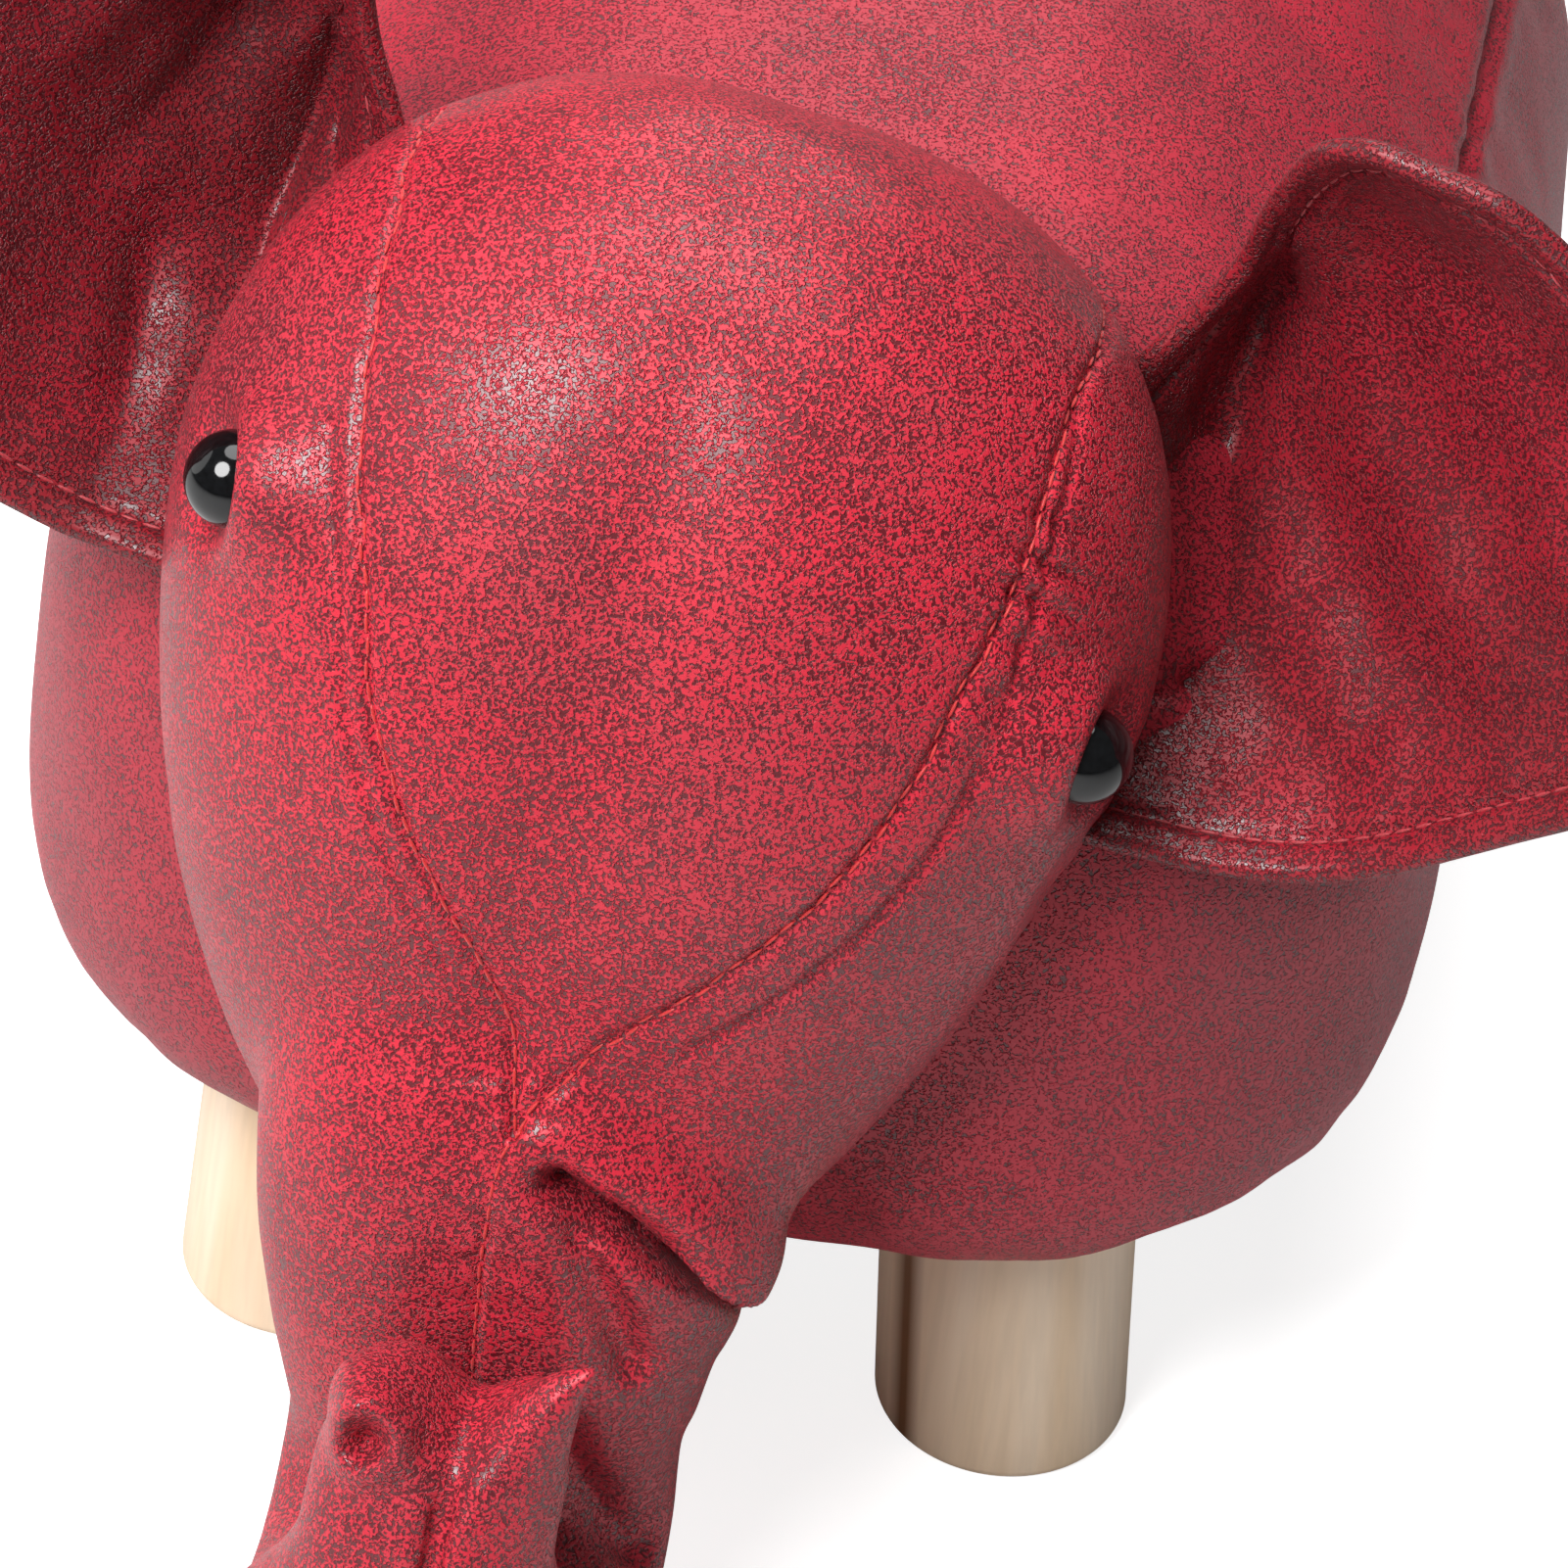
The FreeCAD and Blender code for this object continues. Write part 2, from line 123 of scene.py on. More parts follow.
def new_material(name):
    """A bare material with its shader, and the place on the object that its patterns read."""
    made = bpy.data.materials.new(name)
    made.use_nodes = True
    made.node_tree.nodes.clear()
    tree = made.node_tree
    shader = add(tree, "ShaderNodeBsdfPrincipled")
    add(tree, "ShaderNodeOutputMaterial", {0: shader.outputs[0]})
    place = add(tree, "ShaderNodeTexCoord").outputs["Object"]
    return made, tree, shader, place


def wood(name, streak, lean):
    """Pale sapwood; streak is the x of a brown heartwood line at the floor in metres, or None, and
    lean is how far the line moves inwards per metre of height."""
    made, tree, shader, place = new_material(name)
    drawn = add(tree, "ShaderNodeMapping", {"Vector": place, "Scale": (1.0, 1.0, 0.035)})
    fine = add(tree, "ShaderNodeTexNoise", {"Vector": drawn.outputs[0], "Scale": 520.0, "Detail": 6.0})
    broad = add(tree, "ShaderNodeTexNoise", {"Vector": drawn.outputs[0], "Scale": 90.0, "Detail": 3.0})
    tone = ramp(tree, broad.outputs[0], [(0.28, "#E8CBA8"), (0.5, "#EFD6B9"), (0.72, "#F4DFC6")])
    lines = ramp(tree, fine.outputs[0], [(0.36, 0.62), (0.6, 1.0)])
    tone = blend_colour(tree, 0.16, tone, lines, "MULTIPLY")
    if streak is not None:
        wander = add(tree, "ShaderNodeTexNoise", {"Vector": drawn.outputs[0], "Scale": 60.0})
        axes = add(tree, "ShaderNodeSeparateXYZ", {0: place}).outputs
        upright = maths(tree, "ADD", axes[0], maths(tree, "MULTIPLY", axes[2], lean))
        away = maths(tree, "ABSOLUTE", maths(tree, "SUBTRACT", upright, streak))
        away = maths(tree, "ADD", away, maths(tree, "MULTIPLY", wander.outputs[0], 0.003))
        band = maths(tree, "SUBTRACT", 1.7, maths(tree, "MULTIPLY", away, 300.0), True)
        tone = blend_colour(tree, band, tone, "#7C5230")
    tree.links.new(tone, shader.inputs["Base Color"])
    shader.inputs["Roughness"].default_value = 0.52
    bump = add(tree, "ShaderNodeBump", {"Height": fine.outputs[0], "Strength": 0.18, "Distance": 0.0004})
    tree.links.new(bump.outputs[0], shader.inputs["Normal"])
    return made


def dress(names, material):
    """Gives CAD nodes whose shape is right their finished material."""
    for name in names:
        nodes[name].data.materials.clear()
        nodes[name].data.materials.append(material)


leg_boxes = [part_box(name) for name in LEGS]
under_legs = sum((low + high for low, high in leg_boxes), Vector()) / (2.0 * len(LEGS))
under_legs.z = 0.0
for name in LEGS:
    low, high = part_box(name)
    line = high.x - LEG_RADIUS - STREAK_OFF_MIDDLE if name == "front_left_leg" else None
    lean = (high.x - low.x - 2.0 * LEG_RADIUS) / (high.z - low.z)
    dress([name], wood("sapwood_" + name, line, lean))


# Inner frame. A plywood base and top board on four rails, zinc-plated screws, bolts and tee nuts, and the
# eyes' nylon washers. All of it is out of sight behind the padding, the cheeks and the dust cover.
def plain(name, dark, light, grain, roughness, metallic=0.0):
    """A finish with soft mottling between two colours; grain is its bumps per metre."""
    made, tree, shader, place = new_material(name)
    cloud = add(tree, "ShaderNodeTexNoise", {"Vector": place, "Scale": grain, "Detail": 5.0})
    tone = ramp(tree, cloud.outputs[0], [(0.3, dark), (0.7, light)])
    tree.links.new(tone, shader.inputs["Base Color"])
    shader.inputs["Roughness"].default_value = roughness
    shader.inputs["Metallic"].default_value = metallic
    bump = add(tree, "ShaderNodeBump", {"Height": cloud.outputs[0], "Strength": 0.2, "Distance": 0.0005})
    tree.links.new(bump.outputs[0], shader.inputs["Normal"])
    return made


plywood = plain("birch_plywood", "#C9A877", "#DDC497", 140.0, 0.7)
zinc = plain("zinc_plated_steel", "#9A9C9F", "#BEC0C2", 700.0, 0.35, 1.0)
nylon = plain("white_nylon", "#D8D8D4", "#E8E8E4", 300.0, 0.5)
dress(("base_board", "top_board", "front_rail", "rear_rail", "left_rail", "right_rail"), plywood)
dress(("frame_screws", "leg_bolts", "leg_tee_nuts"), zinc)
dress(("left_eye_washer", "right_eye_washer"), nylon)


# Body cover. Red distressed faux suede drawn over foam: a crowned seat panel sewn to a side band
# at the rim, the band's hem tucked in under the base board and stapled out of sight.
def suede(name, raised, second, worn, cover, wear, rough):
    """Printed faux suede: raised matt red worms under 1 mm wide over dark glossy hollows, rubbed grey
    in clouds. cover shifts how much of the hollows shows, wear is the grey's strength. Scales are
    bumps per metre: worms of 0.7 mm with 0.4 mm edges, in drifts of 30 mm and clouds of 70 mm."""
    made, tree, shader, place = new_material(name)

    def bumps(scale, detail, roughness=0.5, distortion=0.0):
        return add(tree, "ShaderNodeTexNoise", {"Vector": place, "Scale": scale, "Detail": detail,
                                                "Roughness": roughness, "Distortion": distortion}).outputs[0]

    def between(value, start, end, most=1.0, how="SMOOTHSTEP"):
        return add(tree, "ShaderNodeMapRange", {0: value, 1: start, 2: end, 3: 0.0, 4: most},
                   interpolation_type=how).outputs[0]

    def swing(value, share):
        return maths(tree, "MULTIPLY", maths(tree, "SUBTRACT", value, 0.5), share)

    cloud = bumps(14.0, 5.0, 0.62)
    level = maths(tree, "ADD", bumps(1380.0, 1.0, 0.45, 0.5), swing(bumps(34.0, 3.0, 0.6), -0.2))
    level = maths(tree, "ADD", level, swing(bumps(2600.0, 1.0), 0.14))
    pits = between(level, cover, cover - 0.07)
    tone = ramp(tree, cloud, [(0.36, raised), (0.64, second)])
    rubbed = between(cloud, 0.44, 0.7, wear, "LINEAR")
    tone = blend_colour(tree, maths(tree, "MULTIPLY", rubbed, 0.6), tone, worn)
    dark = blend_colour(tree, rubbed, "#360911", "#643C45")
    tone = blend_colour(tree, maths(tree, "MULTIPLY", pits, 0.86), tone, dark)
    tree.links.new(tone, shader.inputs["Base Color"])
    smooth = maths(tree, "SUBTRACT", rough, maths(tree, "MULTIPLY", pits, 0.08))
    tree.links.new(smooth, shader.inputs["Roughness"])
    shine = maths(tree, "ADD", maths(tree, "MULTIPLY", pits, 0.25), 0.42)
    tree.links.new(shine, shader.inputs["Specular IOR Level"])
    shader.inputs["Sheen Weight"].default_value = 0.04
    shader.inputs["Sheen Roughness"].default_value = 0.45
    shader.inputs["Sheen Tint"].default_value = linear("#D9A9B0")
    relief = between(level, cover - 0.08, cover + 0.08)
    bump = add(tree, "ShaderNodeBump", {"Height": relief, "Strength": 1.0, "Distance": 0.0006})
    tree.links.new(bump.outputs[0], shader.inputs["Normal"])
    return made


def baked(piece):
    """Applies the piece's modifiers and leaves one plain mesh."""
    graph = bpy.context.evaluated_depsgraph_get()
    mesh = bpy.data.meshes.new_from_object(piece.evaluated_get(graph))
    piece.modifiers.clear()
    piece.data = mesh
    return piece


def skin_round(name, parts, voxel, hull):
    """One closed skin round copies of CAD solids."""
    shape = bmesh.new()
    for part in parts:
        shape.from_mesh(nodes[part].data)
    if hull:
        result = bmesh.ops.convex_hull(shape, input=shape.verts)
        keep = {item for item in result["geom"] if isinstance(item, bmesh.types.BMFace)}
        bmesh.ops.delete(shape, geom=[f for f in shape.faces if f not in keep], context="FACES")
    mesh = bpy.data.meshes.new(name)
    shape.to_mesh(mesh)
    shape.free()
    piece = bpy.data.objects.new(name, mesh)
    bpy.context.scene.collection.objects.link(piece)
    remesh = piece.modifiers.new("skin", "REMESH")
    remesh.mode = "VOXEL"
    remesh.voxel_size = voxel
    return baked(piece)


def arrays(piece):
    """The mesh's vertex places and normals."""
    count = len(piece.data.vertices)
    places = np.empty(count * 3)
    normals = np.empty(count * 3)
    piece.data.vertices.foreach_get("co", places)
    piece.data.vertices.foreach_get("normal", normals)
    return places.reshape(-1, 3), normals.reshape(-1, 3)


def put(piece, places):
    piece.data.vertices.foreach_set("co", places.ravel())
    piece.data.update()


def refine(piece, smooth, levels):
    """Smooths the mesh a few times and divides its faces."""
    softer = piece.modifiers.new("softer", "SMOOTH")
    softer.factor = 0.5
    softer.iterations = smooth
    if levels:
        finer = piece.modifiers.new("finer", "SUBSURF")
        finer.levels = finer.render_levels = levels
    baked(piece)
    piece.data.polygons.foreach_set("use_smooth", [True] * len(piece.data.polygons))


def near_path(places, path):
    """Distance of each place to a dense path, and how far along it the nearest point lies."""
    finder = KDTree(len(path))
    for index, point in enumerate(path):
        finder.insert(point, index)
    finder.balance()
    steps = np.r_[0.0, np.cumsum(np.linalg.norm(np.diff(path, axis=0), axis=1))]
    found = [finder.find(place) for place in places]
    return np.array([item[2] for item in found]), steps[[item[1] for item in found]]


def dense(points, spacing=0.0008, rounds=24):
    """A smooth path of evenly spaced points through a few."""
    points = np.array(points, float)
    steps = np.r_[0.0, np.cumsum(np.linalg.norm(np.diff(points, axis=0), axis=1))]
    even = np.linspace(0.0, steps[-1], int(steps[-1] / spacing) + 2)
    path = np.stack([np.interp(even, steps, points[:, k]) for k in range(3)], axis=1)
    for _ in range(rounds):
        path[1:-1] = 0.25 * path[:-2] + 0.5 * path[1:-1] + 0.25 * path[2:]
    return path


def swell(places, size, seed):
    """Smooth random heights of about -1 to 1 with bumps of the given size in metres."""
    shift = Vector((seed * 7.3, seed * 3.1, seed * 5.7))
    return np.array([noise.noise(Vector(place) / size + shift) for place in places])


def pucker(along, pitch, seed):
    """Irregular gathers along a seam, from -1 to 1."""
    beat = np.sin(2.0 * math.pi * along / (4.3 * pitch) + seed)
    strength = 0.55 + 0.45 * np.sin(2.0 * math.pi * along / (7.1 * pitch) + 2.0 * seed)
    return np.sin(2.0 * math.pi * along / pitch + 1.4 * beat) * strength


def sew(piece, path, depth, width, lip, gather, pitch, seed):
    """Draws the cover in along a seam, with a rounded lip and small gathers on both sides."""
    places, normals = arrays(piece)
    low, high = path.min(0) - 0.03, path.max(0) + 0.03
    close = np.where(np.all((places > low) & (places < high), axis=1))[0]
    away, along = near_path(places[close], path)
    move = -depth * np.exp(-(away / width) ** 2)
    move += lip * np.exp(-((away - 2.4 * width) / (1.7 * width)) ** 2)
    beside = np.exp(-away / 0.009) * (1.0 - np.exp(-(away / 0.0015) ** 2))
    move += gather * pucker(along, pitch, seed) * beside
    places[close] += move[:, None] * normals[close]
    put(piece, places)


SETTLING_FRAMES = 20


def inflate(piece, held, pressure, grow, cap):
    """Lets the cover settle as cloth under its filling's pressure; held is 1 where a seam keeps it,
    grow the cloth's slack as a share, cap the furthest that it may move."""
    start, _ = arrays(piece)
    group = piece.vertex_groups.new(name="held")
    for level in range(1, 11):
        rows = np.where(np.round(held * 10) == level)[0]
        group.add([int(row) for row in rows], level / 10.0, "REPLACE")
    cloth = piece.modifiers.new("cloth", "CLOTH")
    cloth.settings.quality = 6
    cloth.settings.mass = 0.25
    cloth.settings.use_pressure = True
    cloth.settings.uniform_pressure_force = pressure
    cloth.settings.shrink_min = -grow
    cloth.settings.vertex_group_mass = "held"
    cloth.settings.effector_weights.gravity = 0.0
    cloth.point_cache.frame_start, cloth.point_cache.frame_end = 1, SETTLING_FRAMES
    for number in range(1, SETTLING_FRAMES + 1):
        bpy.context.scene.frame_set(number)
    baked(piece)
    bpy.context.scene.frame_set(1)
    piece.vertex_groups.clear()
    settled, _ = arrays(piece)
    move = settled - start
    length = np.linalg.norm(move, axis=1, keepdims=True)
    put(piece, start + move * np.minimum(1.0, cap / np.maximum(length, 1e-9)))


def rounded_ring(half_width, half_length, radius, z):
    """Points round a rounded rectangle about the middle of the legs."""
    inner_x, inner_y = half_width - radius, half_length - radius
    corners = []
    for quarter, (sx, sy) in enumerate(((1, 1), (-1, 1), (-1, -1), (1, -1))):
        for step in range(13):
            angle = 0.5 * math.pi * (quarter + step / 12.0)
            x, y = sx * inner_x + radius * math.cos(angle), sy * inner_y + radius * math.sin(angle)
            corners.append((x, y, z))
    corners.append(corners[0])
    return np.array(corners) + np.array(under_legs)


SEAT_HALF_WIDTH, SEAT_HALF_LENGTH = 0.140, 0.205
RIM_HEIGHT, RIM_INSET, RIM_CORNER = 0.206, 0.018, 0.077
HEM_TOP, HEM_EDGE, HEM_INSET, HEM_CORNER = 0.085, 0.0718, 0.024, 0.07
body_cover = skin_round("body_cover", ("seat_cover", "side_cover"), 0.006, True)
refine(body_cover, 3, 0)
rim = rounded_ring(SEAT_HALF_WIDTH - RIM_INSET, SEAT_HALF_LENGTH - RIM_INSET, RIM_CORNER, RIM_HEIGHT)
rim = dense(rim, rounds=8)
places, _ = arrays(body_cover)
away, _ = near_path(places, rim)
hem = np.clip((0.078 - places[:, 2]) / 0.006, 0.0, 1.0)
held = np.maximum(np.clip(1.2 - away / 0.006, 0.0, 1.0), hem)
inflate(body_cover, held, pressure=3.0, grow=0.006, cap=0.004)
refine(body_cover, 1, 1)

# Soft ripples go down the sides, stronger near the hem, which waves a little.
places, normals = arrays(body_cover)
side = np.clip(1.0 - np.abs(normals[:, 2]) * 1.4, 0.0, 1.0)
drop = np.clip((0.135 - places[:, 2]) / 0.06, 0.0, 1.0)
ripple = 0.0012 * swell(places, 0.055, 3) + 0.0022 * drop * swell(places * (1, 1, 0.4), 0.034, 4)
places += ((side * ripple) + 0.0008 * swell(places, 0.05, 5))[:, None] * normals
lift = 0.0024 * swell(places * (1, 1, 0), 0.022, 6)
places[:, 2] += lift * np.clip((HEM_TOP - places[:, 2]) / 0.012, 0.0, 1.0)
put(body_cover, places)
sew(body_cover, rim, depth=0.0022, width=0.0022, lip=0.0007, gather=0.0007, pitch=0.013, seed=1.0)

# The cover is open underneath inside its hem, and the hem's cut edge lies level.
under = bmesh.new()
under.from_mesh(body_cover.data)
inner = np.array((SEAT_HALF_WIDTH, SEAT_HALF_LENGTH)) - HEM_INSET - HEM_CORNER
gone = []
for face in under.faces:
    middle = np.array(face.calc_center_median() - under_legs)
    beyond = np.maximum(np.abs(middle[:2]) - inner, 0.0)
    if face.normal.z < -0.6 and middle[2] < HEM_TOP and np.hypot(*beyond) < HEM_CORNER:
        gone.append(face)
bmesh.ops.delete(under, geom=gone, context="FACES")
edge = bmesh.ops.extrude_edge_only(under, edges=[e for e in under.edges if e.is_boundary])
for item in edge["geom"]:
    if isinstance(item, bmesh.types.BMVert):
        item.co.z = HEM_EDGE
under.to_mesh(body_cover.data)
under.free()
body_cover.data.polygons.foreach_set("use_smooth", [True] * len(body_cover.data.polygons))
body_suede = suede("red_suede_body", "#BA2438", "#A41C2F", "#A06A76", cover=0.42, wear=0.12, rough=0.48)
body_cover.data.materials.append(body_suede)
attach(body_cover, "stool")
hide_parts("seat_cover", "side_cover", "seat_foam", "side_padding")


# Head and trunk. Forehead, cheek and trunk panels sewn inside out, turned and stuffed with fibre,
# then sewn to the body; the trunk curls forward and up at the floor. Sizes are millimetres in the
# upright head: across, forward of the neck line, up.
NECK, HEAD_SIDE, HEAD_TURN, HEAD_TILT, TILT_HEIGHT = 115.0, -5.0, -2.0, 7.5, 200.0
head_frame = (
    Matrix.Translation(under_legs + 0.001 * Vector((HEAD_SIDE, -NECK, TILT_HEIGHT)))
    @ Matrix.Rotation(math.radians(HEAD_TURN), 4, "Z") @ Matrix.Rotation(math.radians(HEAD_TILT), 4, "Y")
    @ Matrix.Translation(0.001 * Vector((0.0, NECK, -TILT_HEIGHT))))


def on_head(across, forward, up):
    """A place on the turned and tilted head, from millimetres in the upright one."""
    return head_frame @ (0.001 * Vector((across, -NECK - forward, up)))


def spot(x, y, z):
    """A place in millimetres from the floor under the middle of the legs."""
    return under_legs + 0.001 * Vector((x, y, z))


def ease(value, start, end):
    """Rises smoothly from 0 at start to 1 at end."""
    part = np.clip((value - start) / (end - start), 0.0, 1.0)
    return part * part * (3.0 - 2.0 * part)


def grab(piece, centre, reach, move, side=None):
    """Pulls the cover at a place by a move, easing out at the reach; side is a plane's point and
    normal, and only what lies beyond it is pulled. All in millimetres."""
    places, _ = arrays(piece)
    away = 1000.0 * np.linalg.norm(places - np.array(spot(*centre)), axis=1)
    share = 1.0 - ease(away, 0.0, reach)
    if side:
        point, normal = np.array(spot(*side[0])), np.array(Vector(side[1]).normalized())
        height = 1000.0 * (places - point) @ normal
        share *= ease(height, 0.0, 3.0)
    put(piece, places + 0.001 * share[:, None] * np.array(move, float))


head = skin_round("head_and_trunk", ("head_stuffing", "trunk_stuffing"), 0.0042, False)
refine(head, 5, 0)
places, normals = arrays(head)
places += 0.0016 * normals
TIP_MIDDLE, TIP_BACK = -11.0, -279.0
tip = 1000.0 * (places - np.array(under_legs))
at_tip = tip[:, 1] < TIP_BACK
slim = np.interp(tip[:, 2], (50, 82, 104, 122), (1.0, 0.80, 0.82, 0.94))
sideways = TIP_MIDDLE + (tip[:, 0] - TIP_MIDDLE) * slim + 3.0 * ease(tip[:, 2], 70, 118)
tip[at_tip, 0] = sideways[at_tip]
tip[at_tip, 1] += (13.0 * ease(tip[:, 2], 66, 118))[at_tip]
put(head, np.array(under_legs) + 0.001 * tip)
skin = BVHTree.FromObject(head, bpy.context.evaluated_depsgraph_get())


def laid(points):
    """A smooth path through a few points in millimetres, brought onto the head's skin."""
    path = dense([spot(*point) for point in points])
    return np.array([skin.find_nearest(place)[0] for place in path])


BROW_LEFT = laid([(66, -140, 266), (66, -179, 273), (65, -195, 268), (63, -212, 254), (57, -225, 240),
                  (50, -239, 221), (38, -248, 202), (24, -254, 187), (8, -257, 172), (-5, -260, 158),
                  (-11, -264, 150)])
BROW_RIGHT = laid([(-58, -146, 284), (-57, -181, 288), (-57, -203, 281), (-55, -219, 267), (-49, -236, 246),
                   (-44, -245, 223), (-33, -252, 200), (-21, -254, 181), (-14, -257, 167), (-11, -264, 150)])
TRUNK_FRONT = laid([(-11, -264, 150), (-13, -268, 140), (-14, -272, 124), (-14, -275, 103), (-14, -274, 84)])
TIP_FRONT = laid([(-9, -303, 118), (-9, -311, 114), (-10, -318, 100), (-11, -327, 80), (-12, -332, 56),
                  (-12, -322, 34)])
seams = [BROW_LEFT, BROW_RIGHT, TRUNK_FRONT, TIP_FRONT]
# Creases beside the brow seams, the deep fold under the jaw and two soft folds down the trunk, each
# with its depth and width.
creases = [
    (laid([(68, -183, 272), (69, -202, 261), (68, -216, 247), (64, -227, 230), (58, -236, 213),
           (47, -244, 196), (34, -251, 182), (18, -255, 168)]), 0.0010, 0.0013),
    (laid([(-61, -218, 266), (-54, -235, 245), (-49, -245, 222), (-39, -252, 199), (-27, -255, 178)]),
     0.0007, 0.0012),
    (laid([(-2, -266, 140), (5, -266, 136), (13, -264, 131), (22, -259, 122), (29, -252, 112),
           (33, -243, 103)]), 0.0110, 0.0034),
    (laid([(4, -268, 130), (10, -270, 116), (16, -268, 100)]), 0.0040, 0.0042),
    (laid([(3, -272, 84), (9, -268, 64), (18, -262, 46)]), 0.0036, 0.0042)]
places, _ = arrays(head)
held = np.zeros(len(places))
for path in seams:
    away, _ = near_path(places, path)
    held = np.maximum(held, np.clip(1.3 - away / 0.0045, 0.0, 1.0))
inflate(head, held, pressure=3.0, grow=0.0, cap=0.003)
for _ in range(2):
    refine(head, 1, 1)
places, normals = arrays(head)
places += (0.0003 * swell(places, 0.06, 11) + 0.0002 * swell(places, 0.02, 12))[:, None] * normals
tip = 1000.0 * (places - np.array(under_legs))
at_tip = tip[:, 1] < TIP_BACK + 4.0
dip = 9.0 * np.exp(-((tip[:, 0] + 9.0) / 8.0) ** 2) * ease(tip[:, 2], 98, 117)
places[:, 2] -= 0.001 * dip * at_tip
put(head, places)

# The jaw hangs over its fold, and the tip has a pointed corner on one side and a rolled one on the other.
JAW_FOLD = ((13, -264, 131), (0.62, 0.25, 0.74))
grab(head, (24, -254, 124), 38.0, (8.0, -3.0, -8.0), JAW_FOLD)
grab(head, (10, -299, 116), 14.0, (3.0, 2.0, 11.0))
grab(head, (13, -297, 126), 6.0, (4.0, 1.0, 3.0))
grab(head, (-27, -303, 114), 13.0, (-1.0, -3.0, 4.0))
places, _ = arrays(head)
ahead = np.array((0.1, -0.76, 0.64))
apart = 1000.0 * (places - np.array(spot(-25, -311, 113)))
ring = np.linalg.norm(apart - (apart @ ahead)[:, None] * ahead, axis=1)
roll = 3.2 * np.exp(-((ring - 6.5) / 2.4) ** 2) - 5.0 * np.exp(-(ring / 3.0) ** 2)
put(head, places + 0.001 * (roll * (np.linalg.norm(apart, axis=1) < 22.0))[:, None] * ahead)
for path, depth, width in creases:
    sew(head, path, depth, width, lip=0.12 * depth, gather=0.0, pitch=0.01, seed=0.0)
for seed, path in enumerate(seams):
    sew(head, path, depth=0.0013, width=0.0012, lip=0.0, gather=0.0004, pitch=0.0105, seed=seed + 0.4)
sew(head, TIP_FRONT, depth=0.0026, width=0.0022, lip=0.0008, gather=0.0008, pitch=0.012, seed=2.0)
gathered = BROW_LEFT[len(BROW_LEFT) // 4:len(BROW_LEFT) // 2] + np.array((0.006, 0.0, -0.003))
sew(head, gathered, depth=0.0, width=0.001, lip=0.0, gather=0.0016, pitch=0.009, seed=3.0)

# Each eye draws the cheek in round itself.
for name, sign, lean in (("left_eye", 1, 5), ("right_eye", -1, 17)):
    angle = math.radians(lean)
    outward = np.array(head_frame.to_3x3() @ Vector((sign * math.cos(angle), -math.sin(angle), 0)))
    dome = np.array([v.co for v in nodes[name].data.vertices])
    height = dome @ outward
    seat = height.max() - 0.009
    flat = dome - height[:, None] * outward
    line = 0.5 * (flat.min(0) + flat.max(0))
    places, normals = arrays(head)
    height = places @ outward
    ring = np.linalg.norm(places - height[:, None] * outward - line, axis=1)
    pull = (1.0 - ease(ring, 0.0092, 0.0205)) * (np.abs(height - seat) < 0.02)
    places += (pull * (seat + 0.0004 - height))[:, None] * outward
    puff = 0.0007 * np.exp(-((ring - 0.0135) / 0.004) ** 2) * (np.abs(height - seat) < 0.02)
    put(head, places + puff[:, None] * outward)
head_suede = suede("red_suede_head", "#CE283C", "#BC2033", "#B57E88", cover=0.475, wear=0.18, rough=0.42)
head.data.materials.append(head_suede)
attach(head, "stool")
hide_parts("forehead_panel", "left_cheek_panel", "right_cheek_panel", "trunk_left_panel",
            "trunk_right_panel", "head_stuffing", "trunk_stuffing")


# Thread. Bright red polyester in lock stitches about 4 mm long, drawn down into the head's seams, and a
# darker red for the top-stitching of the ears.
STITCH_PITCH, STITCH_LENGTH, THREAD_THICKNESS = 0.0043, 0.0037, 0.0007


def thread_material(name, low, high):
    made, tree, shader, place = new_material(name)
    twist = add(tree, "ShaderNodeTexNoise", {"Vector": place, "Scale": 2600.0, "Detail": 2.0})
    tree.links.new(ramp(tree, twist.outputs[0], [(0.3, low), (0.7, high)]), shader.inputs["Base Color"])
    shader.inputs["Roughness"].default_value = 0.5
    shader.inputs["Sheen Weight"].default_value = 0.3
    return made


def stitch_tree():
    """Lays one long bead of thread at every pitch along an edge path."""
    tree = bpy.data.node_groups.new("stitch_row", "GeometryNodeTree")
    tree.interface.new_socket("Path", in_out="INPUT", socket_type="NodeSocketGeometry")
    for word in ("Pitch", "Length", "Thickness"):
        tree.interface.new_socket(word, in_out="INPUT", socket_type="NodeSocketFloat")
    tree.interface.new_socket("Thread", in_out="INPUT", socket_type="NodeSocketMaterial")
    tree.interface.new_socket("Stitches", in_out="OUTPUT", socket_type="NodeSocketGeometry")
    given = add(tree, "NodeGroupInput").outputs
    curve = add(tree, "GeometryNodeMeshToCurve", {0: given["Path"]}).outputs[0]
    even = add(tree, "GeometryNodeResampleCurve", {"Curve": curve, "Length": given["Pitch"]}, mode="LENGTH")
    bead = add(tree, "GeometryNodeMeshUVSphere", {"Segments": 8, "Rings": 6, "Radius": 0.5}).outputs[0]
    thick = given["Thickness"]
    size = add(tree, "ShaderNodeCombineXYZ", {0: given["Length"], 1: thick, 2: thick}).outputs[0]
    bead = add(tree, "GeometryNodeTransform", {"Geometry": bead, "Scale": size}).outputs[0]
    heading = add(tree, "GeometryNodeInputTangent").outputs[0]
    turned = add(tree, "FunctionNodeAlignRotationToVector", {"Vector": heading}, axis="X").outputs[0]
    rows = add(tree, "GeometryNodeInstanceOnPoints",
               {"Points": even.outputs[0], "Instance": bead, "Rotation": turned})
    solid = add(tree, "GeometryNodeRealizeInstances", {0: rows.outputs[0]}).outputs[0]
    done = add(tree, "GeometryNodeSetMaterial", {"Geometry": solid, "Material": given["Thread"]}).outputs[0]
    add(tree, "NodeGroupOutput", {0: done})
    return tree


